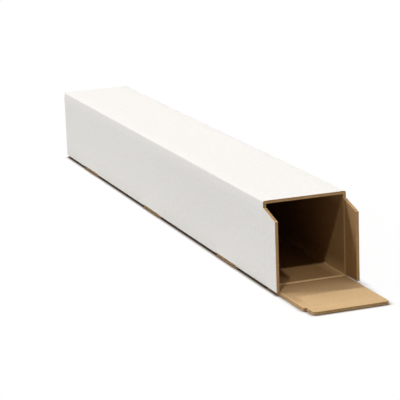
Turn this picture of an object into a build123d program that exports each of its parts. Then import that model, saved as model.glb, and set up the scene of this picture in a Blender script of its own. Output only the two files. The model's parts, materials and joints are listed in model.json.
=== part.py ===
from build123d import *

import os
from math import cos, radians, sin

# A square mailing tube, die cut and folded from one sheet of corrugated board.
# Z is up, Y runs along the tube from the open near end to the closed far end, and the
# origin is at the middle of the underside. All sizes are in millimetres.

# the board
board = 2.8
liner = 0.4
medium = 0.35
flute_pitch = 6.4
flute_angle = 48.0
flute_round = 0.3

# the folded sleeve
inside_width = 76.2
inside_height = 76.2
tube_length = 635.0
fold_radius = 1.6
crease_radius = 0.4
seam_gap = 0.2
seam_setback = 2.0
flange_width = 18.0
flange_bevel = 20.0
flange_relief = 2.0

# the lock tabs along the lower left fold
lock_length = 52.0
lock_first = 72.0
lock_count = 3
slot_height = 1.7
lip_thickness = 1.3
lip_setback = 1.2
lock_clearance = 0.3

# the end flaps
hinge_clearance = 0.2
fold_clearance = 0.3
tuck_clearance = 0.3
dust_length = 25.0
dust_taper = 7.0
tongue_length = 12.5
tongue_step = 3.0
tongue_corner = 2.5
tongue_slope = 5.0

# levels and faces that follow from the board and the inside sizes
half = board / 2
outside_width = inside_width + 2 * board
wall_outer = outside_width / 2
wall_inner = inside_width / 2
wall_middle = wall_inner + half
seam_top = board + seam_gap
flange_top = seam_top + board
ceiling_level = board + inside_height
outside_height = ceiling_level + board
end_plane = tube_length / 2

# hinge lines, from the end planes outwards
socket_radius = half + hinge_clearance
dust_axis = end_plane + socket_radius
closure_axis = dust_axis + half + fold_clearance + half
tuck_level = ceiling_level - tuck_clearance - half
closure_span = tuck_level - half
tongue_axis = closure_axis + closure_span
closure_width = inside_width - 2 * fold_clearance
tongue_width = closure_width - tongue_step
slope_drop = (closure_axis - end_plane) * sin(radians(tongue_slope))
dust_top = tuck_level - half - slope_drop - fold_clearance
dust_bottom = board + fold_clearance

# one flute channel: its width at the liner leaves a web of the medium's thickness
core = board - 2 * liner
lean = radians(flute_angle)
channel_width = flute_pitch / 2 + (core * cos(lean) - medium) / sin(lean)
channel_height = core - medium
channel_level = half - liner - channel_height / 2


def flap_section(plane, length, has_socket):
    """Section of a hinged flap: a round knuckle at its crease, flutes, and a raw edge or a socket.

    The sketch's X runs from the crease to the free edge, and its Y from the outer face to the inner.
    """
    with BuildSketch() as channel:
        Trapezoid(channel_width, channel_height, flute_angle)
        fillet(channel.vertices().group_by(Axis.Y)[-1], flute_round)

    solid_start = half + channel_width / 2
    solid_end = length - channel_width / 2 - (socket_radius if has_socket else liner) - liner
    steps = int((solid_end - solid_start) / (flute_pitch / 2))
    first = (solid_start + solid_end - steps * flute_pitch / 2) / 2

    with BuildSketch(plane) as section:
        with Locations((length / 2, 0)):
            Rectangle(length, board)
        Circle(half)
        if has_socket:
            with Locations((length, 0)):
                Circle(socket_radius, mode=Mode.SUBTRACT)
            with Locations((length, half)):
                Rectangle(2 * socket_radius, board, mode=Mode.SUBTRACT)
        for step in range(steps + 1):
            place = first + step * flute_pitch / 2
            if step % 2 == 0:
                with Locations(Location((place, -channel_level, 0))):
                    add(channel.sketch, mode=Mode.SUBTRACT)
            else:
                with Locations(Location((place, channel_level, 0), (0, 0, 180))):
                    add(channel.sketch, mode=Mode.SUBTRACT)
    return section.sketch


# the sleeve: the sheet starts as a lock flange inside the left wall, goes over the top and down
# the right wall, and ends as the floor, whose raw edge lies under the left wall's fold
with BuildPart() as sleeve:
    with BuildSketch(Plane.XZ) as girth:
        with BuildLine():
            Polyline(
                (-wall_inner + flange_width, seam_top),
                (-wall_inner + flange_width, flange_top),
                (-wall_inner, flange_top),
                (-wall_inner, ceiling_level),
                (wall_inner, ceiling_level),
                (wall_inner, board),
                (-wall_outer + seam_setback, board),
                (-wall_outer + seam_setback, 0),
                (wall_outer, 0),
                (wall_outer, outside_height),
                (-wall_outer, outside_height),
                (-wall_outer, seam_top),
                close=True,
            )
        make_face()
        corners = girth.vertices()
        outer_folds = [
            corners.sort_by_distance((side * wall_outer, level))[0]
            for side, level in ((1, 0), (1, outside_height), (-1, outside_height), (-1, seam_top))
        ]
        fillet(outer_folds, fold_radius)
        corners = girth.vertices()
        inner_folds = [
            corners.sort_by_distance((side * wall_inner, level))[0]
            for side, level in ((1, board), (1, ceiling_level), (-1, ceiling_level), (-1, flange_top))
        ]
        fillet(inner_folds, crease_radius)
    extrude(amount=end_plane, both=True)

    # the lock flange is cut back on a slant at each end
    with BuildSketch(Plane.XY.offset(seam_top)):
        for end in (-1, 1):
            with BuildLine():
                Polyline(
                    (-wall_inner, end * (end_plane - flange_relief)),
                    (-wall_inner, end * end_plane),
                    (-wall_inner + flange_width, end * end_plane),
                    (-wall_inner + flange_width, end * (end_plane - flange_bevel)),
                    close=True,
                )
            make_face()
    extrude(amount=flange_top, mode=Mode.SUBTRACT)

    # the floor reaches past each end plane, as far as the closure's crease
    reach = closure_axis - end_plane + board
    with BuildSketch(Plane.YZ):
        for side in (-1, 1):
            with Locations((side * (closure_axis - reach / 2), half)):
                Rectangle(reach, board)
            with Locations((side * closure_axis, half)):
                Circle(socket_radius, mode=Mode.SUBTRACT)
            with Locations((side * closure_axis, board)):
                Rectangle(2 * socket_radius, board, mode=Mode.SUBTRACT)
    extrude(amount=closure_width / 2, both=True)

    # each side wall's outer liner laps the knuckle of its dust flap
    with BuildSketch(Plane.XY.offset(seam_top)):
        for side in (-1, 1):
            for end in (-1, 1):
                with Locations((side * (wall_middle + half / 2), end * (end_plane + socket_radius / 2))):
                    Rectangle(half, socket_radius)
                with Locations((side * wall_middle, end * dust_axis)):
                    Circle(socket_radius, mode=Mode.SUBTRACT)
    extrude(amount=dust_top - seam_top)

    # slots along the lower left fold, and the lock tabs that reach up into them
    lock_pitch = (tube_length - 2 * lock_first - lock_length) / (lock_count - 1)
    lock_places = [lock_first + lock_length / 2 - end_plane + n * lock_pitch for n in range(lock_count)]
    slot_size = lock_length + 2 * lock_clearance
    slot_align = (Align.CENTER, Align.CENTER, Align.MIN)
    with Locations([(-wall_outer, place, board) for place in lock_places]):
        Box(2 * board, slot_size, seam_gap + slot_height, align=slot_align, mode=Mode.SUBTRACT)
    tab_align = (Align.MIN, Align.CENTER, Align.MIN)
    with Locations([(-wall_outer, place, 0) for place in lock_places]):
        Box(2 * seam_setback, lock_length, board, align=tab_align)
    with Locations([(-wall_outer + lip_setback, place, 0) for place in lock_places]):
        Box(lip_thickness, lock_length, seam_top + slot_height - lock_clearance, align=tab_align)
sleeve.part.label = "sleeve"

# the closure flap lies open in front of the near end, its kraft side up
with BuildPart() as near_closure_flap:
    closure_start = (closure_width / 2, -closure_axis, half)
    closure_plane = Plane(origin=closure_start, x_dir=(0, -1, 0), z_dir=(-1, 0, 0))
    closure_section = flap_section(closure_plane, closure_span, True)
    extrude(closure_section, amount=closure_width, dir=closure_plane.z_dir)
near_closure_flap.part.label = "near_closure_flap"

# the tuck tongue is stepped in at the left and rounded at its front corners
with BuildPart() as near_tuck_tongue:
    tongue_start = (closure_width / 2, -tongue_axis, half)
    tongue_plane = Plane(origin=tongue_start, x_dir=(0, -1, 0), z_dir=(-1, 0, 0))
    tongue_section = flap_section(tongue_plane, tongue_length, False)
    extrude(tongue_section, amount=tongue_width, dir=tongue_plane.z_dir)
    with BuildSketch() as outline:
        with Locations((closure_width / 2, half - tongue_axis)):
            Rectangle(tongue_width, half + tongue_length, align=(Align.MAX, Align.MAX))
        fillet(outline.vertices().group_by(Axis.Y)[0], tongue_corner)
    extrude(amount=board, mode=Mode.INTERSECT)
near_tuck_tongue.part.label = "near_tuck_tongue"

# a dust flap carries each side wall on, and its top edge slopes down from its relief cut
with BuildPart() as near_left_dust_flap:
    dust_plane = Plane(origin=(-wall_middle, -dust_axis, dust_bottom), x_dir=(0, -1, 0), z_dir=(0, 0, 1))
    dust_section = flap_section(dust_plane, dust_length, False)
    extrude(dust_section, amount=dust_top - dust_bottom, dir=dust_plane.z_dir)
    with BuildSketch(Plane.YZ.offset(-wall_middle)):
        with BuildLine():
            Polyline(
                (-dust_axis, dust_top),
                (-dust_axis - dust_length, dust_top - dust_taper),
                (-dust_axis - dust_length, dust_top),
                close=True,
            )
        make_face()
    extrude(amount=board, both=True, mode=Mode.SUBTRACT)
near_left_dust_flap.part.label = "near_left_dust_flap"

with BuildPart() as near_right_dust_flap:
    mirror(near_left_dust_flap.part, about=Plane.YZ)
near_right_dust_flap.part.label = "near_right_dust_flap"

# the far end has the same four flaps, folded shut
left_crease = Axis((-wall_middle, dust_axis, 0), (0, 0, 1))
closure_crease = Axis((0, closure_axis, half), (1, 0, 0))
tongue_crease = Axis((0, tongue_axis, half), (1, 0, 0))
quarter_turn = 90

with BuildPart() as far_left_dust_flap:
    add(near_left_dust_flap.part.mirror(Plane.XZ).rotate(left_crease, -quarter_turn))
far_left_dust_flap.part.label = "far_left_dust_flap"

with BuildPart() as far_right_dust_flap:
    mirror(far_left_dust_flap.part, about=Plane.YZ)
far_right_dust_flap.part.label = "far_right_dust_flap"

with BuildPart() as far_closure_flap:
    add(near_closure_flap.part.mirror(Plane.XZ).rotate(closure_crease, quarter_turn))
far_closure_flap.part.label = "far_closure_flap"

with BuildPart() as far_tuck_tongue:
    folded = near_tuck_tongue.part.mirror(Plane.XZ).rotate(tongue_crease, quarter_turn + tongue_slope)
    add(folded.rotate(closure_crease, quarter_turn))
far_tuck_tongue.part.label = "far_tuck_tongue"

os.makedirs("parts", exist_ok=True)
export_step(sleeve.part, "parts/sleeve.step")
export_step(near_closure_flap.part, "parts/near_closure_flap.step")
export_step(near_tuck_tongue.part, "parts/near_tuck_tongue.step")
export_step(near_left_dust_flap.part, "parts/near_left_dust_flap.step")
export_step(near_right_dust_flap.part, "parts/near_right_dust_flap.step")
export_step(far_closure_flap.part, "parts/far_closure_flap.step")
export_step(far_tuck_tongue.part, "parts/far_tuck_tongue.step")
export_step(far_left_dust_flap.part, "parts/far_left_dust_flap.step")
export_step(far_right_dust_flap.part, "parts/far_right_dust_flap.step")
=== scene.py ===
# A square corrugated mailing tube, white outside and kraft inside, open at its near end.
# Every piece is real board: an outer liner, an inner liner and a fluted medium between them.
import json

import bpy
import numpy as np
from mathutils import Matrix, Vector


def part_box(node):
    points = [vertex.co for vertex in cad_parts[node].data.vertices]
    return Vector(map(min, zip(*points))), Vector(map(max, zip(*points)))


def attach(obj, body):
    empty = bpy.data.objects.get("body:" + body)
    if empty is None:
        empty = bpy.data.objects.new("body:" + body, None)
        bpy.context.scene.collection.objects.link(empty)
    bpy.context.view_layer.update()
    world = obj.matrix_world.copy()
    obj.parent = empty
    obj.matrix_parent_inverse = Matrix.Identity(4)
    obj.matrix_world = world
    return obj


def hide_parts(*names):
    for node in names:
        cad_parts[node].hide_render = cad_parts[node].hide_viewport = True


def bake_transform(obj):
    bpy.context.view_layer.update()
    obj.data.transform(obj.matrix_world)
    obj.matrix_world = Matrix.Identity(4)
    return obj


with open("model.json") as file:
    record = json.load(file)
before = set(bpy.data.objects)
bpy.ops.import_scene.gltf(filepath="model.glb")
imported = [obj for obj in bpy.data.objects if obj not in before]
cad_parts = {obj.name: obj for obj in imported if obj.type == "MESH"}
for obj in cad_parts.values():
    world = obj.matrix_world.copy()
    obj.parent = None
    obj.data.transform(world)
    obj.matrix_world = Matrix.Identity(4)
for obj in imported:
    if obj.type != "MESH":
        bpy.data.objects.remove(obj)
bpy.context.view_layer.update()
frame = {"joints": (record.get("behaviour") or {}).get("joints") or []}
mm = 0.001


def inMm(place):
    # a place in the frame, from metres to mm, rounded to the hundredth
    return tuple(round(float(value) / mm, 2) for value in place)


# the crease lines and the flaps' boxes, as the CAD has them
hinges = {joint["name"]: inMm(joint["pos_m"]) for joint in frame["joints"]}
closureHinge, tongueHinge = hinges["near_closure_fold"], hinges["near_tongue_fold"]
dustHinge = hinges["near_right_dust_fold"]
sleeveHigh = inMm(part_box("sleeve")[1])
closureLow, closureHigh = (inMm(corner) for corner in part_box("near_closure_flap"))
tongueLow = inMm(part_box("near_tuck_tongue")[0])
dustLow, dustHigh = (inMm(corner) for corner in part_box("near_right_dust_flap"))

# one sheet of board; what every piece below is cut from, in mm
boardSettings = {
    "thickness": 2.8,
    "liner": 0.4,
    "medium": 0.32,
    "mediumPress": 0.004,  # how far the medium is pressed into the liners, as a share of the thickness
    "flutePitch": 6.4,
    "washboard": 0.02,  # how far the liners follow the flutes
    "ragged": 0.05,  # how far a die-cut edge wanders
    "plugDepth": 0.5,  # how deep a cut flute stays open
    "plugWidth": 1.0,  # how far it is crushed shut behind that
    "plugLap": 0.98,  # crushed board starts at this share of each liner, so that no slit is left
    "sharpAngle": 38.0,  # an edge that turns further than this shows sharp, degrees
    "hingeClearance": 0.2,  # between the end plane and the knuckles of the dust flaps
}
thickness = boardSettings["thickness"]
half = thickness / 2
liner = boardSettings["liner"]
medium = boardSettings["medium"]
pitch = boardSettings["flutePitch"]
linerShare = liner / thickness

# the paper on a slab's outer side, its inner side and its cut walls: 0 is the sheet's outer face,
# 1 is its inner face and 2 is a cut edge
wholeLooks = (0, 1, 2)
outerLooks = (0, 2, 2)
innerLooks = (2, 1, 2)
cutLooks = (2, 2, 2)


def joinSlabs(name, slabs, materials):
    # puts slabs into one mesh: each slab's quads count on from the points of those before it
    starts = np.cumsum([0] + [len(one["points"]) for one in slabs[:-1]])
    quads = np.concatenate([one["quads"] + start for one, start in zip(slabs, starts)])
    points, numbers, places, wearAndPaintedLight = (
        np.concatenate([one[key] for one in slabs]) for key in ("points", "numbers", "places", "wearAndPaintedLight")
    )
    mesh = bpy.data.meshes.new(name)
    mesh.from_pydata((points * mm).tolist(), [], quads.tolist())
    mesh.polygons.foreach_set("material_index", numbers.astype(np.int32))
    mesh.polygons.foreach_set("use_smooth", np.ones(len(quads), bool))
    loops = np.empty(len(mesh.loops), np.int32)
    mesh.loops.foreach_get("vertex_index", loops)
    sheet = mesh.uv_layers.new(name="sheet")
    sheet.data.foreach_set("uv", (places[loops] * mm).astype(np.float32).ravel())
    wearAndPaintedLightLayer = mesh.attributes.new("wearAndPaintedLight", "FLOAT", "POINT")
    wearAndPaintedLightLayer.data.foreach_set("value", wearAndPaintedLight.astype(np.float32))
    for material in materials:
        mesh.materials.append(material)
    mesh.set_sharp_from_angle(angle=np.radians(boardSettings["sharpAngle"]))
    mesh.update()
    piece = bpy.data.objects.new(name, mesh)
    bpy.context.scene.collection.objects.link(piece)
    return piece


def slab(outerSide, innerSide, places, keep=None, wearAndPaintedLight=0.0, looks=wholeLooks):
    # a closed sheet between two grids: the outer quads, the inner quads turned over, and a wall along
    # each side of a kept quad that has no kept neighbour; turned the right way by its signed volume
    rows, columns = outerSide.shape[:2]
    if keep is None:
        keep = np.ones((rows - 1, columns - 1), bool)
    count = rows * columns
    index = np.arange(count).reshape(rows, columns)
    a, b, c, d = index[:-1, :-1], index[1:, :-1], index[1:, 1:], index[:-1, 1:]
    top = np.stack([a, b, c, d], -1)[keep]
    bottom = np.stack([d, c, b, a], -1)[keep] + count
    padded = np.pad(keep, 1)
    walls = []
    for p, q, down, right in ((a, b, 0, -1), (b, c, 1, 0), (c, d, 0, 1), (d, a, -1, 0)):
        bare = keep & ~padded[1 + down:rows + down, 1 + right:columns + right]
        walls.append(np.stack([q[bare], p[bare], p[bare] + count, q[bare] + count], -1))
    walls = np.concatenate(walls)
    quads = np.concatenate([top, bottom, walls])
    numbers = np.repeat(looks, [len(top), len(bottom), len(walls)])
    points = np.concatenate([outerSide.reshape(-1, 3), innerSide.reshape(-1, 3)])
    p0, p1, p2, p3 = (points[quads[:, n]] for n in range(4))
    volume = (p0 * np.cross(p1, p2)).sum() + (p0 * np.cross(p2, p3)).sum()
    if volume < 0:
        quads = quads[:, ::-1]
    used, quads = np.unique(quads, return_inverse=True)
    return {
        "points": points[used],
        "quads": quads.reshape(-1, 4),
        "numbers": numbers,
        "places": np.concatenate([places.reshape(-1, 2)] * 2)[used],
        "wearAndPaintedLight": np.broadcast_to(wearAndPaintedLight, (2, rows, columns)).ravel()[used],
    }


def gridOf(x, y, z):
    # a grid of points from three coordinates that are spread over each other
    return np.stack(np.broadcast_arrays(x, y, z), -1)


def between(outerSide, innerSide, share):
    # the sheet that lies this share of the way from the outer face to the inner one
    return outerSide + (innerSide - outerSide) * share


def wave(run, phase=0.0):
    # the flutes: one sine wave per pitch along the run
    return np.sin(2 * np.pi * run / pitch + phase)


def wander(run, seed):
    # a slow uneven line, the mean of three sines of unlike length, between about -1 and 1
    return (np.sin(run * 0.31 + seed) + np.sin(run * 0.83 + 2.1 * seed) + np.sin(run * 2.3 + 0.7 * seed)) / 3


def liners(outerSide, innerSide, places, keep=None, wearAndPaintedLight=0.0):
    # the two liners, each a thin slab on its own face of the board
    return [
        slab(outerSide, between(outerSide, innerSide, linerShare), places, keep, wearAndPaintedLight, outerLooks),
        slab(between(outerSide, innerSide, 1 - linerShare), innerSide, places, keep, wearAndPaintedLight, innerLooks),
    ]


def flutedMedium(outerSide, innerSide, places, run, phase):
    # the medium, a thin slab that swings from liner to liner as a sine of the place along the run
    skin = medium / thickness / 2
    swing = 0.5 - linerShare - skin + boardSettings["mediumPress"]
    centre = (0.5 + swing * wave(run, phase))[..., None]
    lower, upper = between(outerSide, innerSide, centre - skin), between(outerSide, innerSide, centre + skin)
    return slab(lower, upper, places, looks=cutLooks)


def crushedEdge(outerSide, innerSide, places):
    # where a cut runs along the flutes the die has crushed them: a strip fills the board between its liners
    lap = linerShare * boardSettings["plugLap"]
    lower, upper = between(outerSide, innerSide, lap), between(outerSide, innerSide, 1 - lap)
    return slab(lower, upper, places, looks=cutLooks)


# colours and materials
def linear(hexColour):
    # an sRGB colour in linear light
    parts = np.array([int(hexColour[n:n + 2], 16) for n in (1, 3, 5)]) / 255
    parts = np.where(parts <= 0.04045, parts / 12.92, ((parts + 0.055) / 1.055) ** 2.4)
    return (*parts.tolist(), 1.0)


def addNode(tree, kind, settings=None, **links):
    # adds a node, sets its inputs by name or number, and links those given as sockets
    node = tree.nodes.new(kind)
    for key, value in (settings or {}).items():
        if isinstance(key, str) and hasattr(node, key):
            setattr(node, key, value)
        else:
            node.inputs[key].default_value = value
    for key, source in links.items():
        key = int(key[1:]) if key[0] == "i" and key[1:].isdigit() else key
        tree.links.new(source, node.inputs[key])
    return node


def ramp(tree, value, fromLow, fromHigh, toLow=0.0, toHigh=1.0):
    # brings one range of a value to another and holds it at both ends
    settings = {1: fromLow, 2: fromHigh, 3: toLow, 4: toHigh}
    return addNode(tree, "ShaderNodeMapRange", settings, Value=value).outputs["Result"]


def calculated(tree, operation, first, second=0.0):
    # one step of arithmetic on a socket and either a second socket or a plain number
    node = addNode(tree, "ShaderNodeMath", {"operation": operation}, i0=first)
    if isinstance(second, float):
        node.inputs[1].default_value = second
    else:
        tree.links.new(second, node.inputs[1])
    return node.outputs["Value"]


def mixed(tree, share, *colours):
    # from a first colour to a second one by a share; each is a socket or an sRGB colour
    node = addNode(tree, "ShaderNodeMix", {"data_type": "RGBA"}, Factor=share)
    for number, colour in zip((6, 7), colours):
        if isinstance(colour, str):
            node.inputs[number].default_value = linear(colour)
        else:
            tree.links.new(colour, node.inputs[number])
    return node.outputs[2]


def stretched(tree, size):
    # the sheet's own place in pattern steps of this length and width in mm; the length crosses the flutes,
    # which is the paper machine's direction
    place = addNode(tree, "ShaderNodeUVMap", {"uv_map": "sheet"})
    scale = (1 / (size[0] * mm), 1 / (size[1] * mm), 1.0)
    return addNode(tree, "ShaderNodeMapping", {"Scale": scale}, Vector=place.outputs["UV"]).outputs["Vector"]


def noise(tree, size, detail, roughness=0.5):
    # a cloudy pattern whose lumps are about this long and wide in mm
    settings = {"Scale": 1.0, "Detail": detail, "Roughness": roughness}
    return addNode(tree, "ShaderNodeTexNoise", settings, Vector=stretched(tree, size)).outputs["Fac"]


def newPaper(name, look, surface):
    # a material with a tree of its own; look makes its colour and its fine relief
    material = bpy.data.materials.new(name)
    material.use_nodes = True
    tree = material.node_tree
    tree.nodes.clear()
    shader = addNode(tree, "ShaderNodeBsdfPrincipled")
    addNode(tree, "ShaderNodeOutputMaterial", Surface=shader.outputs["BSDF"])
    colour, relief = look(tree)
    tree.links.new(colour, shader.inputs["Base Color"])
    settings = {"Strength": surface["bump"], "Distance": surface["depth"] * mm}
    bump = addNode(tree, "ShaderNodeBump", settings, Height=relief)
    tree.links.new(bump.outputs["Normal"], shader.inputs["Normal"])
    shader.inputs["Roughness"].default_value = surface["roughness"]
    shader.inputs["IOR"].default_value = paperSettings["ior"]
    shader.inputs["Specular IOR Level"].default_value = surface["specular"]
    return material


paperSettings = {
    "ior": 1.45,
    "white": "#F4F3F1",
    "whiteShade": "#EFEDEA",
    "whiteRubbed": "#D9CBB6",  # where a fold has rubbed the white thin
    "whiteCloud": (5.0, 4.0),  # the mottle, long and wide, mm
    "whiteFibres": (2.4, 0.5),
    "kraft": "#DABA8E",
    "kraftShade": "#CEAA7B",
    "kraftFleck": "#8A6238",
    "paintedShadeKraft": "#AF8D63",  # the body's inner liner, darker than the open flaps' kraft as painted shade for the inside of the tube
    "paintedShadeKraftMottle": "#9F7D53",
    # burnished kraft, which on the crease beads also serves as a painted highlight
    "burnishedAndHighlight": "#EBCB98",
    "edge": "#E0BD90",
    "edgeShade": "#BA9566",
    "fibres": (5.5, 1.4),  # a clump of fibres, long and wide, mm
    "cutFibres": (1.0, 0.8),  # the torn ends at a cut edge
    "flecks": (2.56, 0.64),
    "fluteTone": (pitch * 3.1416, 40.0),  # about one light and dark band a flute
    # the part of each pattern over which its second colour comes in, and the most of it that shows
    "mottleRange": (0.35, 0.7),
    "rubRange": (0.3, 0.9),
    "rubShare": 0.3,
    "cloudRange": (0.3, 0.72),
    "bandShare": 0.16,
    "fleckRange": (0.66, 0.8),
    "fleckShare": 0.6,
    # each paper's surface; the depth of its relief is in mm
    "whiteSurface": {"bump": 0.12, "depth": 0.05, "roughness": 0.62, "specular": 0.3},
    "kraftSurface": {"bump": 0.25, "depth": 0.08, "roughness": 0.78, "specular": 0.2},
    "innerSurface": {"bump": 0.25, "depth": 0.08, "roughness": 0.82, "specular": 0.2},
    "cutSurface": {"bump": 0.25, "depth": 0.08, "roughness": 0.9, "specular": 0.2},
}


def makeWhiteLiner(s):
    # white-top linerboard, bleached pulp over kraft: matt and even, with a faint cloudy mottle
    def look(tree):
        fibres = noise(tree, s["whiteFibres"], detail=3.0)
        tone = ramp(tree, noise(tree, s["whiteCloud"], detail=4.0, roughness=0.6), *s["mottleRange"])
        colour = mixed(tree, tone, s["white"], s["whiteShade"])
        wearAndPaintedLight = addNode(tree, "ShaderNodeAttribute", {"attribute_name": "wearAndPaintedLight"}).outputs["Fac"]
        rubbed = calculated(tree, "MULTIPLY", wearAndPaintedLight, fibres)
        rub = ramp(tree, rubbed, *s["rubRange"], toHigh=s["rubShare"])
        return mixed(tree, rub, colour, s["whiteRubbed"]), fibres

    return newPaper("whiteTopLiner", look, s["whiteSurface"])


def makeKraft(s, name, tones, fibres, surface):
    # unbleached kraft: long brown fibres along the machine direction, dark flecks and a tone per flute; wear
    # and painted light above 0 burnishes it, on the crease beads partly as a painted highlight, and below 0
    # darkens it towards the inner kraft as painted shade
    base, shade, fleck = (s[key] for key in tones)

    def look(tree):
        cloud = noise(tree, s[fibres], detail=5.0, roughness=0.65)
        settings = {"Scale": 1.0, "Distortion": 0.4, "Detail": 1.0}
        bands = addNode(tree, "ShaderNodeTexWave", settings, Vector=stretched(tree, s["fluteTone"]))
        colour = mixed(tree, ramp(tree, cloud, *s["cloudRange"]), base, shade)
        bands = ramp(tree, bands.outputs["Fac"], 0.0, 1.0, toHigh=s["bandShare"])
        colour = mixed(tree, bands, colour, shade)
        specks = ramp(tree, noise(tree, s["flecks"], detail=2.0), *s["fleckRange"], toHigh=s["fleckShare"])
        colour = mixed(tree, specks, colour, fleck)
        wearAndPaintedLight = addNode(tree, "ShaderNodeAttribute", {"attribute_name": "wearAndPaintedLight"}).outputs["Fac"]
        # below 0 the colour is darkened towards the inner kraft as painted shade
        colour = mixed(tree, calculated(tree, "MULTIPLY", wearAndPaintedLight, -1.0), colour, s["paintedShadeKraft"])
        # above 0 the colour is burnished, on the crease beads partly as a painted highlight
        return mixed(tree, wearAndPaintedLight, colour, s["burnishedAndHighlight"]), cloud

    return newPaper(name, look, s[surface])


def makePapers(s):
    # white and kraft for the open flaps; for the body and its dust flaps white and a darker kraft whose
    # darkness is painted shade; each with its cut edges
    white = makeWhiteLiner(s)
    tones = ("kraft", "kraftShade", "kraftFleck")
    kraft = makeKraft(s, "kraftLiner", tones, "fibres", "kraftSurface")
    # the body's darker kraft: painted shade for the inside of the tube and the dust flaps
    tones = ("paintedShadeKraft", "paintedShadeKraftMottle", "kraftFleck")
    inner = makeKraft(s, "kraftInnerLinerPaintedShade", tones, "fibres", "innerSurface")
    cut = makeKraft(s, "rawKraftEdge", ("edge", "edgeShade", "edgeShade"), "cutFibres", "cutSurface")
    return [white, kraft, cut], [white, inner, cut]


papers, bodyPapers = makePapers(paperSettings)
print("materials made")


# the sleeve is one sheet that wraps from the lock flange over the top and round to the floor
sleeveSettings = {
    "halfWidth": sleeveHigh[0],
    "height": sleeveHigh[2],
    "endPlane": round(-dustHinge[1] - half - boardSettings["hingeClearance"], 2),
    "foldRadius": 1.6,
    "creaseRadius": 0.4,
    "seamTop": 3.0,
    "flangeWidth": 18.0,
    "flangeBevel": 20.0,
    "flangeRelief": 2.0,
    "flangeEase": 30.0,  # the length over which the flange's lines are drawn up to its slant
    "setback": 3.6,  # how far in the floor's raw edge stays under the left wall
    "sag": 1.0,  # how far the lower left fold hangs below the flange
    "bow": 0.35,  # how far a panel is drawn in at its middle
    "bowEase": 70.0,  # the length over which the bow comes in from each end
    "unevenLength": 28.0,  # the bow varies slowly along the tube, by this share
    "unevenShare": 0.2,
    "topBow": (38.0, 70.0),  # half the width of the top's bow, and a level below the top
    "wallBow": (41.0, 37.0, 38.5),  # the middle and half the height of a wall's bow, and a place inside it
    "washEase": 6.0,  # the length over which the washboard comes in
    "scallop": 0.05,  # how far a fold dips at each flute
    "foldEdge": 0.4,  # how much of a fold's wear and dip is there at its edges
    "cutDepth": 0.42,  # how far in the crushed board of a cut end starts
    "cutWander": 0.12,  # how uneven that is, and the wander's step from one mesh line to the next
    "cutStep": 2.7,
    "cutLength": 1.2,
    "lockCount": 3,
    "lockFirst": 72.0,  # from each end plane to the nearest tab
    "lockLength": 52.0,
    "lockClearance": 0.3,
    "slotHeight": 1.7,
    "slotLap": 0.5,  # how far past the wall's inner face a slot is cut into the flange
    "panelSteps": (4, 6, 6, 6, 7),  # mesh steps across the flange, left wall, top, right wall and floor
    "arcSteps": 5,
    "linerSteps": 4,  # mesh steps along one flute, on the liners and on the medium
    "mediumSteps": 8,
}


def girthPath(s):
    # the sheet's outer and inner faces in the plane of X and Z, station by station: straight panels and,
    # at each fold, two arcs of a quarter turn about the same angle
    w, h, t = s["halfWidth"], s["height"], thickness
    outerCorners = np.array([(-w, s["seamTop"] - s["sag"]), (-w, h), (w, h), (w, 0.0)])
    innerCorners = np.array([(t - w, s["seamTop"] + t), (t - w, h - t), (w - t, h - t), (w - t, t)])
    directions = np.array([(-1, 0), (0, 1), (1, 0), (0, -1), (-1, 0)], float)
    steps = s["panelSteps"]
    flangeEdge = t - w + s["flangeWidth"]
    outer, inner = [np.array([(flangeEdge, s["seamTop"])])], [np.array([(flangeEdge, s["seamTop"] + t)])]
    fold = [np.zeros(1)]  # 0 on the panels and 1 in the middle of a fold
    for n in range(4):
        before, after = directions[n], directions[n + 1]
        angle = np.linspace(0, np.pi / 2, s["arcSteps"] + 1)[:, None]
        turn = np.sin(angle) * before - np.cos(angle) * after
        share = np.linspace(0, 1, steps[n] + 1)[1:-1, None]
        for corner, radius, line in (
            (outerCorners[n], s["foldRadius"], outer),
            (innerCorners[n], s["creaseRadius"], inner),
        ):
            arc = corner + radius * (after - before + turn)
            line.append(line[-1][-1] + (arc[0] - line[-1][-1]) * share)
            line.append(arc)
        fold.append(np.zeros(steps[n] - 1))
        fold.append(np.sin(angle[:, 0] * 2) * (1 - s["foldEdge"]) + s["foldEdge"])
    for grid in outer[:2]:  # the flange itself stays level, and only the fold hangs lower
        grid[:, 1] = s["seamTop"]
    share = np.linspace(0, 1, steps[4] + 1)[1:, None]
    for line, level in ((outer, 0.0), (inner, t)):
        end = np.array([s["setback"] - w, level])
        line.append(line[-1][-1] + (end - line[-1][-1]) * share)
    fold.append(np.zeros(steps[4]))
    return np.concatenate(outer), np.concatenate(inner), np.concatenate(fold)


def lockPlaces(s):
    # the middles of the lock tabs, evenly spaced from the first to the last
    reach = s["endPlane"] - s["lockFirst"] - s["lockLength"] / 2
    return np.linspace(-reach, reach, s["lockCount"])


def inSlots(s, places):
    # true where a place along the tube lies in one of the lock slots
    reach = s["lockLength"] / 2 + s["lockClearance"]
    return np.any([np.abs(places - place) < reach for place in lockPlaces(s)], axis=0)


def runStations(s, steps):
    # places along the tube, this many to a flute, with the slots' ends let in exactly
    length = s["endPlane"]
    stations = np.linspace(-length, length, int(round(2 * length / pitch * steps)) + 1)
    reach = s["lockLength"] / 2 + s["lockClearance"]
    slotEnds = np.array([place + side * reach for place in lockPlaces(s) for side in (-1, 1)])
    near = np.abs(stations[:, None] - slotEnds).min(1) < pitch / steps / 2
    return np.sort(np.concatenate([stations[~near], slotEnds]))


def flangeWarp(s, stations, shareIn):
    # the lock flange is cut back on a slant at each end: its places run up to the slant, not to the end plane
    reach = s["endPlane"] - (s["flangeRelief"] + (s["flangeBevel"] - s["flangeRelief"]) * shareIn)
    start = s["endPlane"] - s["flangeEase"]
    beyond = np.clip((np.abs(stations) - start) / s["flangeEase"], 0, 1)
    return np.sign(stations) * (np.minimum(np.abs(stations), start) + beyond * (reach - start))


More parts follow.
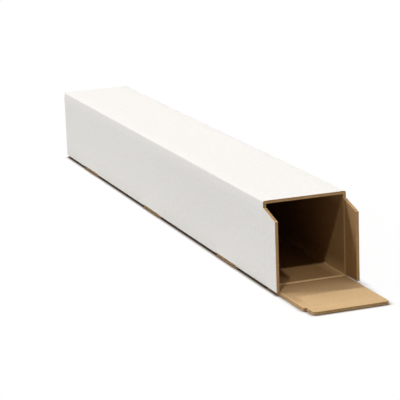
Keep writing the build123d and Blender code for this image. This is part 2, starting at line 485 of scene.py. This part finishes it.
def sleeveSheets(s, steps):
    # the girth path at every station: the panels bow in, and each fold dips a little at every flute
    outerLine, innerLine, fold = girthPath(s)
    stations = runStations(s, steps)
    run = np.repeat(stations[:, None], len(outerLine), 1)
    shareIn = np.clip((outerLine[:, 0] + s["halfWidth"] - thickness) / s["flangeWidth"], 0, 1)
    for n in range(s["panelSteps"][0] + 1):
        run[:, n] = flangeWarp(s, stations, shareIn[n])
    middle = (outerLine + innerLine) / 2
    topHalf, topLevel = s["topBow"]
    wallLevel, wallHalf, wallInside = s["wallBow"]
    across = np.clip(1 - (middle[:, 0] / topHalf) ** 2, 0, 1) * (middle[:, 1] > topLevel)
    upright = np.clip(1 - ((middle[:, 1] - wallLevel) / wallHalf) ** 2, 0, 1)
    upright *= (np.abs(middle[:, 0]) > wallInside) * np.sign(middle[:, 0])
    fromEnd = np.clip((s["endPlane"] - np.abs(stations)) / s["bowEase"], 0, 1)
    uneven = 1 - s["unevenShare"] + s["unevenShare"] * wander(stations / s["unevenLength"], seed=1.3)
    bow = (s["bow"] * fromEnd * fromEnd * (3 - 2 * fromEnd) * uneven)[:, None]
    fade = np.clip((s["endPlane"] - np.abs(run)) / s["washEase"], 0, 1)
    ripple = boardSettings["washboard"] * (wave(run) - 1) * fade
    scallop = s["scallop"] * fold * (wave(run) - 1)
    normal = outerLine - innerLine
    normal = normal / np.linalg.norm(normal, axis=1)[:, None]
    sheets = []
    for line, lift in ((outerLine, ripple + scallop), (innerLine, -ripple)):
        x = line[:, 0] - bow * upright + normal[:, 0] * lift
        z = line[:, 1] - bow * across + normal[:, 1] * lift
        sheets.append(gridOf(x, run, np.maximum(z, 0.0)))
    length = np.concatenate([[0], np.cumsum(np.linalg.norm(np.diff(middle, axis=0), axis=1))])
    places = np.stack(np.broadcast_arrays(run, length), -1)
    return stations, sheets, places, np.broadcast_to(fold, run.shape), outerLine


def makeSleeve(s):
    # the wrapped sheet as two liners, crushed strips at both cut ends, and the medium between them
    stations, (outerSide, innerSide), places, wearAndPaintedLight, outerLine = sleeveSheets(s, s["linerSteps"])
    # a slot takes the fold's own quads, and the flange's as far in as the wall's inner face
    centre = (outerLine[:-1] + outerLine[1:]) / 2
    hair = 0.01  # for rounding at the fold's lowest line
    onSlot = centre[:, 0] < thickness - s["halfWidth"] + s["slotLap"]
    onSlot &= centre[:, 1] < s["seamTop"] + s["slotHeight"]
    onSlot &= centre[:, 1] >= s["seamTop"] - s["sag"] - hair
    keep = ~(inSlots(s, (stations[:-1] + stations[1:]) / 2)[:, None] & onSlot)
    slabs = liners(outerSide, innerSide, places, keep, wearAndPaintedLight)
    for end, row in ((-1, 0), (1, -1)):
        strip = [np.repeat(grid[[row]], 2, 0) for grid in (outerSide, innerSide, places)]
        for grid in strip[:2]:
            step = np.arange(grid.shape[1]) * s["cutStep"]
            depth = s["cutDepth"] + s["cutWander"] * wander(step, seed=4.0 + end)
            grid[0, :, 1] -= end * depth
            grid[1, :, 1] -= end * (depth + s["cutLength"])
        slabs.append(crushedEdge(*strip))

    # the medium is ruled straight from fold to fold, so it needs only two lines a panel
    (outerSide, innerSide), places = sleeveSheets(s, s["mediumSteps"])[1:3]
    phase = np.pi / 2 + 2 * np.pi * s["endPlane"] / pitch  # the near end cuts the wave at the inner liner
    first = 0
    for steps in s["panelSteps"]:
        pick = [first, first + steps]
        place = places[:, pick]
        slabs.append(flutedMedium(outerSide[:, pick], innerSide[:, pick], place, place[..., 0], phase))
        first += steps + s["arcSteps"]
    return slabs


lockSettings = {
    "steps": 53,  # mesh lines along a tab, and along its medium
    "mediumLines": 90,
    "gap": 0.08,  # how far the tab's edge stays behind the wall's face
    "underCut": 0.9,  # how much further the lower liner stays back
    "score": 1.3,  # the tab's middle line, and how far it laps the floor
    "root": 1.0,
    "follow": (1.0, 0.2, 0.0),  # how far its edge, middle and root follow the uneven cut
    "cornerLength": 1.2,  # each end of the tab is drawn in over this length, by this much
    "cornerInset": 0.5,
    "ragged": 0.06,
    "mediumEnd": 0.6,  # how far the medium stays behind the tab's ends and its edge
    "mediumEdge": 0.3,
    "lipShare": 0.99,  # the lip's length against the tab's, and how much its corners drop
    "lipDrop": 1.2,
    "lip": ((2.2, 2.6), (2.2, 3.9), (2.4, 4.25), (3.0, 4.25), (3.2, 3.9), (3.2, 2.6)),  # inwards and up
}


def lockTab(s, k, place):
    # a tab carries the floor board out to the wall's face, and its lip stands up in the slot:
    # crushed profiles in X and Z, carried along the tube and drawn in at both ends
    edge, root, reach = -s["halfWidth"], s["setback"] + k["root"], s["lockLength"] / 2
    along = np.linspace(-reach, reach, k["steps"])[:, None]
    inset = k["cornerInset"] * np.clip(1 - (reach - np.abs(along)) / k["cornerLength"], 0, 1)
    rough = k["ragged"] * wander(along * 3, seed=place + 1.0)
    slabs = []
    for low, back, looks in ((0.0, k["underCut"], outerLooks), (thickness - liner, 0.0, innerLooks)):
        x = edge + k["gap"] + np.array([back, k["score"], root]) + (rough + inset) * np.array(k["follow"])
        lower, upper = gridOf(x, place + along, low), gridOf(x, place + along, low + liner)
        slabs.append(slab(lower, upper, lower[..., 1::-1], looks=looks))
    fine = np.linspace(k["mediumEnd"] - reach, reach - k["mediumEnd"], k["mediumLines"])[:, None]
    x = edge + np.array([k["mediumEdge"], root])
    low = half - medium / 2 + (half - liner - medium / 2) * wave(fine)
    lower, upper = gridOf(x, place + fine, low), gridOf(x, place + fine, low + medium)
    slabs.append(slab(lower, upper, lower[..., 1::-1], looks=cutLooks))
    lip = np.array(k["lip"])
    sides = []
    for line in (lip[:3], lip[:2:-1]):
        z = line[:, 1] - inset * k["lipDrop"] * np.array([0, 1, 1])
        sides.append(gridOf(edge + line[:, 0] + rough, place + along * k["lipShare"], z))
    slabs.append(slab(sides[0], sides[1], sides[0][..., 1:], looks=innerLooks))
    return slabs


sleeveSlabs = makeSleeve(sleeveSettings)
for lockPlace in lockPlaces(sleeveSettings):
    sleeveSlabs += lockTab(sleeveSettings, lockSettings, lockPlace)
sleeve = joinSlabs("sleeveBoard", sleeveSlabs, bodyPapers)
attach(sleeve, "tube")
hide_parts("sleeve")
print("sleeve made")


# a flap's own frame: u from the crease to the free edge, v along the flutes, w from outer to inner face
def flapFrame(origin, u, w):
    u, w = np.array(u, float), np.array(w, float)
    return {"origin": np.array(origin, float), "u": u, "w": w, "v": np.cross(w, u)}


def turned(base, degrees):
    # the same frame after a fold towards its inner face
    angle = np.radians(degrees)
    u = base["u"] * np.cos(angle) + base["w"] * np.sin(angle)
    w = base["w"] * np.cos(angle) - base["u"] * np.sin(angle)
    return dict(base, u=u, w=w)


def placed(base, u, v, w):
    # the point this far along each of the frame's directions from its origin
    u, v, w = np.broadcast_arrays(u, v, w)
    return base["origin"] + u[..., None] * base["u"] + v[..., None] * base["v"] + w[..., None] * base["w"]


flapSettings = {
    "closureAxis": -closureHinge[1],
    "closureSpan": round(closureHinge[1] - tongueHinge[1], 2),
    "closureHalfWidth": closureHigh[0],
    "closureScore": 3.0,  # crushed board beyond the closure's crease line
    "closurePaintedShade": 30.0,  # how far from its crease the closure's inner face carries painted shade
    "tongueLength": round(tongueHinge[1] - tongueLow[1], 2),
    "tongueStep": round(tongueLow[0] - closureLow[0], 2),
    "tongueCorner": 2.5,
    "tongueSlope": 5.0,
    "dustAxis": -dustHinge[1],
    "dustMiddle": dustHinge[0],
    "dustLength": round(dustHinge[1] - dustLow[1], 2),
    "dustTaper": 7.0,
    "dustTop": dustHigh[2],
    "dustBottom": dustLow[2],
    "creaseReach": 2.4,  # crushed board beyond any other crease line
    "narrowColumns": 9,  # mesh lines across a dust flap and a crease, and across a closure and its tongue
    "wideColumns": 13,
    "linerStep": 0.8,  # mesh rows on the liners, and on the medium
    "mediumStep": 0.5,
    "mediumInset": 0.06,  # how far the medium stays behind a cut side
    "rippleStart": 3.0,  # the lengths over which the washboard comes in and goes out
    "rippleEnd": 1.5,
    "crushFrom": 1.5,  # the crushed board before the free edge, and how uneven its start is
    "crushTo": 0.4,
    "crushWander": 0.12,
    "crushStep": 60.0,
    "crushInset": 0.1,  # how far it stays behind the sides
    "plugStart": 0.3,  # where the crushed ends of the flutes begin and stop
    "plugEnd": 1.0,
    "plugRows": 40,
}


def ruled(sides, u, share, inset=0.0):
    # v for each place u, ruled from the low side to the high one by the shares
    low, high = sides[0](u) + inset, sides[1](u) - inset
    return low[:, None] + (high - low)[:, None] * share


def flapSlabs(s, base, start, end, sides, seed, columns, paintedShade=0.0):
    # a corrugated flap: rows step along u, and each row is ruled from the flap's low side to its high side;
    # the inner face carries painted shade near the crease, darkened towards the inner kraft by 1 there and by
    # 0 from u = paintedShade on
    cut = boardSettings["ragged"]
    raggedSides = (
        lambda u: sides[0](u) + cut * (1 + wander(u, seed)) / 2,
        lambda u: sides[1](u) - cut * (1 + wander(u, seed + 3)) / 2,
    )

    def grids(step, number, inset):
        # the two faces in rows this far apart, each sunk a little between the flutes, and their places
        u = np.linspace(start, end, int(np.ceil((end - start) / step)) + 1)
        v = ruled(raggedSides, u, np.linspace(0, 1, number), inset)
        u = np.repeat(u[:, None], number, 1)
        fade = np.clip((u - start) / s["rippleStart"], 0, 1) * np.clip((end - u) / s["rippleEnd"], 0, 1)
        ripple = boardSettings["washboard"] * (wave(u) - 1) * fade
        return placed(base, u, v, -half - ripple), placed(base, u, v, half + ripple), np.stack([u, v], -1)

    def crushed(u, v):
        # a crushed strip over these places of the flap
        return crushedEdge(placed(base, u, v, -half), placed(base, u, v, half), np.stack([u, v], -1))

    outer, inner, places = grids(s["linerStep"], columns, 0.0)
    run = places[..., 0]
    # on the inner face, painted shade near the crease, as a negative value of wear and painted light
    wearAndPaintedLight = np.stack([0 * run, -np.clip(1 - run / paintedShade, 0, 1)]) if paintedShade else 0.0
    slabs = liners(outer, inner, places, wearAndPaintedLight=wearAndPaintedLight)
    outer, inner, places = grids(s["mediumStep"], 2, s["mediumInset"])
    phase = np.pi / 2 - 2 * np.pi * end / pitch  # at the free edge the wave stands on the inner liner
    slabs.append(flutedMedium(outer, inner, places, places[..., 0], phase))

    share = np.linspace(0, 1, columns * 3)
    u = np.array([end - s["crushFrom"], end - s["crushTo"]])
    v = ruled(sides, u, share, s["crushInset"])
    uneven = s["crushWander"] * wander(share * s["crushStep"], seed)
    slabs.append(crushed(u[:, None] + uneven * [[0], [1]], v))
    # the knife closes the flutes a little way in from each side
    depths = boardSettings["plugDepth"] + np.array([0.0, boardSettings["plugWidth"]])
    u = np.linspace(start + s["plugStart"], end - s["plugEnd"], s["plugRows"])
    for side, way in ((sides[0](u), 1), (sides[1](u), -1)):
        v = side[:, None] + way * depths
        slabs.append(crushed(np.repeat(u[:, None], 2, 1), v))
    return slabs


# how each crease is scored: the height of its bead, the depth of the groove beside it, the bead's place, how
# much the bead is burnished, partly as a painted highlight, and how much painted shade darkens the board off
# it
plainScore = {"bead": 0.0, "groove": 0.0, "place": 0.0, "burnishAndHighlight": 0.6, "paintedShade": 0.0}
# on the closure's crease the bright bead is partly burnish and partly a painted highlight, and the board off
# it carries painted shade
closureScore = {"bead": 0.2, "groove": 0.9, "place": -3.1, "burnishAndHighlight": 1.0, "paintedShade": 1.0}
tongueScore = dict(plainScore, bead=0.04, groove=0.06, burnishAndHighlight=0.15)
creaseSettings = {
    "rows": 13,  # mesh rows on each leg, and steps round the bend
    "bendSteps": 10,
    "ease": 0.8,  # the relief fades out over this length at both ends
    "beadWidth": 1.0,
    "groovePlace": 2.0,  # the groove's distance from the bead
    "grooveWidth": 0.7,
    "outerDip": 0.18,  # the outer face's dent along an open crease
    "outerWidth": 0.8,
    "cornerDip": 0.15,  # the inner face's dent beside a folded corner
    "cornerWidth": 0.5,
    "rubbed": 0.5,  # how rubbed the outer face is along the crease
    "rubWidth": 0.9,
    "burnishAndHighlightWidth": 2.2,
}


def bell(distance, width):
    # a smooth hump: 1 in its middle, and e to the power of minus the square of distance over width around it
    return np.exp(-(distance / width) ** 2)


def creaseSlab(c, base, bend, before, after, sides, score):
    # the board crushed along its score: the outer face goes straight, round the crease line and straight on,
    # the inner face meets in its corner, and on an open crease a pressed bead and a groove run beside it
    corner = half * np.tan(np.radians(bend) / 2)
    share = np.linspace(0, 1, c["rows"])
    columns = np.linspace(0, 1, flapSettings["narrowColumns"])
    legs = (
        (base, -before + before * share, -before + (before - corner) * share),
        (turned(base, bend), after * share, corner + (after - corner) * share),
    )
    rows = []
    for frameNow, outerU, innerU in legs:
        v = ruled(sides, outerU, columns)
        if bend:
            outerRise = 0 * outerU
            innerRise = -c["cornerDip"] * bell(np.abs(innerU) - corner, c["cornerWidth"])
        else:
            outerRise = c["outerDip"] * bell(outerU, c["outerWidth"])
            innerRise = score["bead"] * bell(innerU - score["place"], c["beadWidth"])
            innerRise -= score["groove"] * bell(innerU - score["place"] - c["groovePlace"], c["grooveWidth"])
        ends = np.minimum(np.abs(outerU + before), np.abs(after - outerU))
        ease = np.clip(ends / c["ease"], 0, 1)
        outer = placed(frameNow, outerU[:, None], v, (-half + outerRise * ease)[:, None])
        inner = placed(frameNow, innerU[:, None], v, (half + innerRise * ease)[:, None])
        rows.append((outer, inner, np.stack(np.broadcast_arrays(outerU[:, None], v), -1)))
    if bend:  # the outer face turns about the crease line, and the inner one stays in its corner
        angles = np.linspace(0, bend, c["bendSteps"] + 1)[1:-1]
        v = ruled(sides, 0 * angles, columns)
        outer = np.array([placed(turned(base, angle), 0.0, line, -half) for angle, line in zip(angles, v)])
        inner = np.repeat(rows[0][1][-1:], len(angles), 0)
        rows.insert(1, (outer, inner, np.stack([0 * v, v], -1)))
    else:  # the two legs share the crease row
        rows[1] = tuple(grid[1:] for grid in rows[1])
    outer, inner, places = (np.concatenate(grids) for grids in zip(*rows))
    # inner face: the bead burnished and partly a painted highlight, the board off it darkened as painted
    # shade
    ridge = bell(places[..., 0] - score["place"], c["burnishAndHighlightWidth"])
    outerWear = c["rubbed"] * bell(places[..., 0], c["rubWidth"])
    innerWearAndPaintedLight = score["burnishAndHighlight"] * ridge - score["paintedShade"] * (1 - ridge)
    return slab(outer, inner, places, wearAndPaintedLight=np.stack([outerWear, innerWearAndPaintedLight]))


def constant(value):
    # a straight side: the same v at every u
    return lambda u: np.full(np.shape(u), value, float)


def makeEnd(s, near):
    # the four flaps and four creases of one end; the far end is the near one turned round and folded shut
    sign = -1 if near else 1
    word = "near" if near else "far"
    bend = 0 if near else 90
    reach, endPlane = s["creaseReach"], sleeveSettings["endPlane"]
    made = {}

    # dust flaps: v runs up or down, and the top edge slopes down to the free edge
    def dustTop(u):
        return s["dustTop"] - s["dustTaper"] * np.clip(u, 0, None) / s["dustLength"]

    for sideName, side in (("Left", -1), ("Right", 1)):
        base = flapFrame((side * s["dustMiddle"], sign * s["dustAxis"], 0.0), (0, sign, 0), (-side, 0, 0))
        if base["v"][2] > 0:  # v runs up
            sides = (constant(s["dustBottom"]), dustTop)
        else:  # down here
            sides = (lambda u: -dustTop(u), constant(-s["dustBottom"]))
        folded = turned(base, bend)
        flap = flapSlabs(
            s, folded, reach, s["dustLength"], sides, seed=2.0 + side, columns=s["narrowColumns"]
        )
        crease = creaseSlab(creaseSettings, base, bend, s["dustAxis"] - endPlane, reach, sides, plainScore)
        made[word + sideName + "DustFlap"] = (flap, crease)

    # closure: v runs across the tube
    base = flapFrame((0, sign * s["closureAxis"], half), (0, sign, 0), (0, 0, 1))
    width, score = s["closureHalfWidth"], s["closureScore"]
    sides = (constant(-width), constant(width))
    upright = turned(base, bend)
    flap = flapSlabs(
        s, upright, score, s["closureSpan"] - reach, sides,
        seed=5.0, columns=s["wideColumns"], paintedShade=s["closurePaintedShade"],
    )
    crease = creaseSlab(creaseSettings, base, bend, s["closureAxis"] - endPlane, score, sides, closureScore)
    made[word + "ClosureFlap"] = (flap, crease)

    # tongue: stepped in on the left and rounded at its free corners
    tongueBase = dict(upright, origin=upright["origin"] + s["closureSpan"] * upright["u"])
    length, corner, slope = s["tongueLength"], s["tongueCorner"], 0 if near else 90 + s["tongueSlope"]

    def rounded(u):
        # how far a quarter circle at the free corner draws the side in
        into = np.clip(u - (length - corner), 0, corner)
        return corner - np.sqrt(np.clip(corner ** 2 - into ** 2, 0, None))

    # the far flap is the near one turned over, so its step stays on the left
    lowInset, highInset = (s["tongueStep"], 0.0) if base["v"][0] > 0 else (0.0, s["tongueStep"])
    sides = (lambda u: -width + lowInset + rounded(u), lambda u: width - highInset - rounded(u))
    flap = flapSlabs(
        s, turned(tongueBase, slope), reach, length, sides, seed=7.0, columns=s["wideColumns"]
    )
    crease = creaseSlab(creaseSettings, tongueBase, slope, reach, reach, sides, tongueScore)
    made[word + "TuckTongue"] = (flap, crease)
    return made


# each flap's node, its body, and the body on the other side of its crease
cadNames = {
    "nearLeftDustFlap": ("near_left_dust_flap", "near_left_dust", "tube"),
    "nearRightDustFlap": ("near_right_dust_flap", "near_right_dust", "tube"),
    "nearClosureFlap": ("near_closure_flap", "near_closure", "tube"),
    "nearTuckTongue": ("near_tuck_tongue", "near_tongue", "near_closure"),
    "farLeftDustFlap": ("far_left_dust_flap", "tube", "tube"),
    "farRightDustFlap": ("far_right_dust_flap", "tube", "tube"),
    "farClosureFlap": ("far_closure_flap", "far_closure", "tube"),
    "farTuckTongue": ("far_tuck_tongue", "far_closure", "far_closure"),
}
# each moving crease, with its hinge, a start before it and an end beyond it, in mm; this script only bakes
# these creases into place and does not bend them
creaseBends = {
    "nearLeftDustFlap": ("near_left_dust_fold", (0.0, 1.2, 0.0), (0.0, -1.2, 0.0)),
    "nearRightDustFlap": ("near_right_dust_fold", (0.0, 1.2, 0.0), (0.0, -1.2, 0.0)),
    "nearClosureFlap": ("near_closure_fold", (0.0, 1.4, 0.0), (0.0, -1.4, 0.0)),
    "nearTuckTongue": ("near_tongue_fold", (0.0, 1.4, 0.0), (0.0, -1.4, 0.0)),
    "farClosureFlap": ("far_closure_fold", (0.0, -1.4, 0.2), (0.0, 0.1, 1.7)),
}
for name, (flap, crease) in {**makeEnd(flapSettings, True), **makeEnd(flapSettings, False)}.items():
    node, body, fromBody = cadNames[name]
    # the dust flaps take the body's darker kraft, which is painted shade
    sheets = bodyPapers if "Dust" in name else papers
    piece = joinSlabs(name, flap, sheets)
    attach(piece, body)
    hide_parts(node)
    fold = joinSlabs(name + "Crease", [crease], sheets)
    if name in creaseBends:
        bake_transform(fold)
    else:
        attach(fold, body)
print("flaps and creases made")


stageSettings = {
    "floorSize": 6.0,  # m
    "floorDrop": 0.3,  # how far the floor lies below the object, mm
    "floorColour": "#AEAEAC",
    "floorGlow": 0.94,  # share of plain white that the camera sees in the floor, away from the object
    "contact": 9.0,  # how far from the object the floor keeps its own light and shade, mm
    "contactShade": 5.0,  # how near a surface must stand for the floor's colour beside it to be darkened, by ambient occlusion, as painted shade
    "contactPower": 2.5,  # how much that painted shade is deepened
    # rectangles on the ground, each as half its width, its near end and its far end
    "bodyReach": (40.9, -344.0, 324.0),  # under the sleeve and its dust flaps
    "flapReach": (37.8, -411.0, -322.0),  # under the closure and its tongue
    "underSleeve": (40.6, -317.2, 321.0),  # where the ground is painted dark as shade, so the gap under the wall stays dark
    "underEase": 0.8,  # how far in from there that painted shade is full, mm
    "underShade": 0.1,
    "paintedGapShadeColour": "#5E5147",  # the brown painted on the ground in the gap as its shade, as if tinted by the boards round it
    "ambient": 0.03,
}
white = "#FFFFFF"


def brightRays(tree):
    # 1 for camera, glossy and transmission rays, which see plain white
    path = addNode(tree, "ShaderNodeLightPath").outputs
    seen = calculated(tree, "MAXIMUM", path["Is Camera Ray"], path["Is Glossy Ray"])
    return calculated(tree, "MAXIMUM", seen, path["Is Transmission Ray"])


def beyondBox(tree, place, reach):
    # metres beyond a rectangle on the ground, negative inside it: the larger of |x| - a and |y - c| - b
    halfWidth, near, far = reach
    across = calculated(tree, "ABSOLUTE", place["X"])
    across = calculated(tree, "SUBTRACT", across, halfWidth * mm)
    along = calculated(tree, "SUBTRACT", place["Y"], (near + far) / 2 * mm)
    along = calculated(tree, "ABSOLUTE", along)
    along = calculated(tree, "SUBTRACT", along, (far - near) / 2 * mm)
    return calculated(tree, "MAXIMUM", across, along)


def groundColour(tree, s, seen, place):
    # grey to the object, and white to the camera; in the gap under the wall painted dark brown as shade, and
    # near the object darkened by ambient occlusion as painted shade
    # the ground under the sleeve is painted dark: painted shade
    under = ramp(tree, beyondBox(tree, place, s["underSleeve"]), -s["underEase"] * mm, 0.0, s["underShade"])
    # ambient occlusion darkens the ground's colour near the object: painted shade
    shade = addNode(tree, "ShaderNodeAmbientOcclusion", {"samples": 16, "Distance": s["contactShade"] * mm})
    deeper = calculated(tree, "POWER", shade.outputs["AO"], s["contactPower"])
    ground = mixed(tree, calculated(tree, "MULTIPLY", under, deeper), s["paintedGapShadeColour"], white)
    return mixed(tree, seen, s["floorColour"], ground)


def makeFloor(s):
    # the floor gives light back to the object as a grey one, and the camera sees it as white
    size, z = s["floorSize"] / 2, -s["floorDrop"] * mm
    mesh = bpy.data.meshes.new("studioFloor")
    corners = [(-size, -size, z), (size, -size, z), (size, size, z), (-size, size, z)]
    mesh.from_pydata(corners, [], [(0, 1, 2, 3)])
    floor = bpy.data.objects.new("studioFloor", mesh)
    bpy.context.scene.collection.objects.link(floor)
    material = bpy.data.materials.new("paleFloor")
    material.use_nodes = True
    tree = material.node_tree
    tree.nodes.clear()
    seen = brightRays(tree)
    where = addNode(tree, "ShaderNodeTexCoord").outputs["Object"]
    place = addNode(tree, "ShaderNodeSeparateXYZ", Vector=where).outputs
    paint = addNode(tree, "ShaderNodeBsdfDiffuse", Color=groundColour(tree, s, seen, place))
    glow = addNode(tree, "ShaderNodeEmission", {"Color": linear(white), "Strength": 1.0})
    boxes = [beyondBox(tree, place, s[key]) for key in ("bodyReach", "flapReach")]
    away = ramp(tree, calculated(tree, "MINIMUM", *boxes), 0.0, s["contact"] * mm, toHigh=s["floorGlow"])
    surface = addNode(
        tree, "ShaderNodeMixShader",
        i0=calculated(tree, "MULTIPLY", seen, away), i1=paint.outputs["BSDF"], i2=glow.outputs["Emission"],
    )
    addNode(tree, "ShaderNodeOutputMaterial", Surface=surface.outputs["Shader"])
    mesh.materials.append(material)


def makeWorld(s):
    # a little even light for the object, and plain white behind it for the camera
    world = bpy.data.worlds.new("studioWorld")
    bpy.context.scene.world = world
    world.use_nodes = True
    tree = world.node_tree
    tree.nodes.clear()
    soft, plain = (
        addNode(tree, "ShaderNodeBackground", {"Color": linear(white), "Strength": strength})
        for strength in (s["ambient"], 1.0)
    )
    surface = addNode(
        tree, "ShaderNodeMixShader",
        i0=brightRays(tree), i1=soft.outputs["Background"], i2=plain.outputs["Background"],
    )
    addNode(tree, "ShaderNodeOutputWorld", Surface=surface.outputs["Shader"])


makeFloor(stageSettings)
makeWorld(stageSettings)

# each lamp: the way towards it, its colour, its strength on a surface that faces it (the lamps that reach the
# top come to about 1 there, which shows a colour as written), and its softness in degrees
lampSettings = {
    "keyBehind": ((-0.12, 0.56, 1.0), white, 0.31, 3.0),
    "keyFront": ((-0.42, -0.58, 1.0), "#FFF8EE", 0.25, 3.0),
    "topSoft": ((0.05, -0.05, 1.0), white, 0.15, 45.0),
    "sideLow": ((-1.0, 0.30, 0.57), white, 0.28, 5.0),
    "sideBehind": ((-1.0, 0.90, 0.80), white, 0.27, 30.0),
    "backFill": ((1.0, 0.75, 0.8), white, 0.15, 40.0),
    "frontRight": ((1.0, -0.75, 0.3), "#FFF6E8", 0.15, 12.0),
}
lampDistance = 1.5
for lampName, (towards, colour, strength, softness) in lampSettings.items():
    lamp = bpy.data.lights.new(lampName, "SUN")
    lamp.energy = strength * np.pi
    lamp.color = linear(colour)[:3]
    lamp.angle = np.radians(softness)
    holder = bpy.data.objects.new(lampName, lamp)
    holder.rotation_euler = Vector(towards).to_track_quat("Z", "Y").to_euler()
    holder.location = Vector(towards) * lampDistance
    bpy.context.scene.collection.objects.link(holder)

cameraSettings = {
    "place": (-607.95, -1706.41, 450.64),  # mm
    "yaw": -0.3521,
    "pitch": 0.2398,
    "roll": -0.0363,
    "focalPixels": 1726.25,
    "centre": (203.22, 200.71),
    "imageSize": 400,
    "sensor": 36.0,
    "clipEnd": 50.0,
}


def makeCamera(s):
    # ahead, right and up from the three angles; the lens and the shift from the picture's own pixels
    cy, sy, cp, sp = np.cos(s["yaw"]), np.sin(s["yaw"]), np.cos(s["pitch"]), np.sin(s["pitch"])
    ahead = np.array([-sy * cp, cy * cp, -sp])
    right = np.array([cy, sy, 0.0])
    up = np.cross(right, ahead)
    cr, sr = np.cos(s["roll"]), np.sin(s["roll"])
    right, up = right * cr + up * sr, up * cr - right * sr
    camera = bpy.data.cameras.new("camera")
    camera.sensor_width = s["sensor"]
    camera.lens = s["focalPixels"] / s["imageSize"] * s["sensor"]
    camera.shift_x = (s["imageSize"] / 2 - s["centre"][0]) / s["imageSize"]
    camera.shift_y = (s["centre"][1] - s["imageSize"] / 2) / s["imageSize"]
    camera.clip_end = s["clipEnd"]
    holder = bpy.data.objects.new("camera", camera)
    turn = Matrix([[right[n], up[n], -ahead[n]] for n in range(3)])
    holder.matrix_world = Matrix.Translation(Vector(s["place"]) * mm) @ turn.to_4x4()
    bpy.context.scene.collection.objects.link(holder)
    bpy.context.scene.camera = holder


makeCamera(cameraSettings)
bpy.context.scene.view_settings.view_transform = "Standard"
print("stage, lights and camera made")
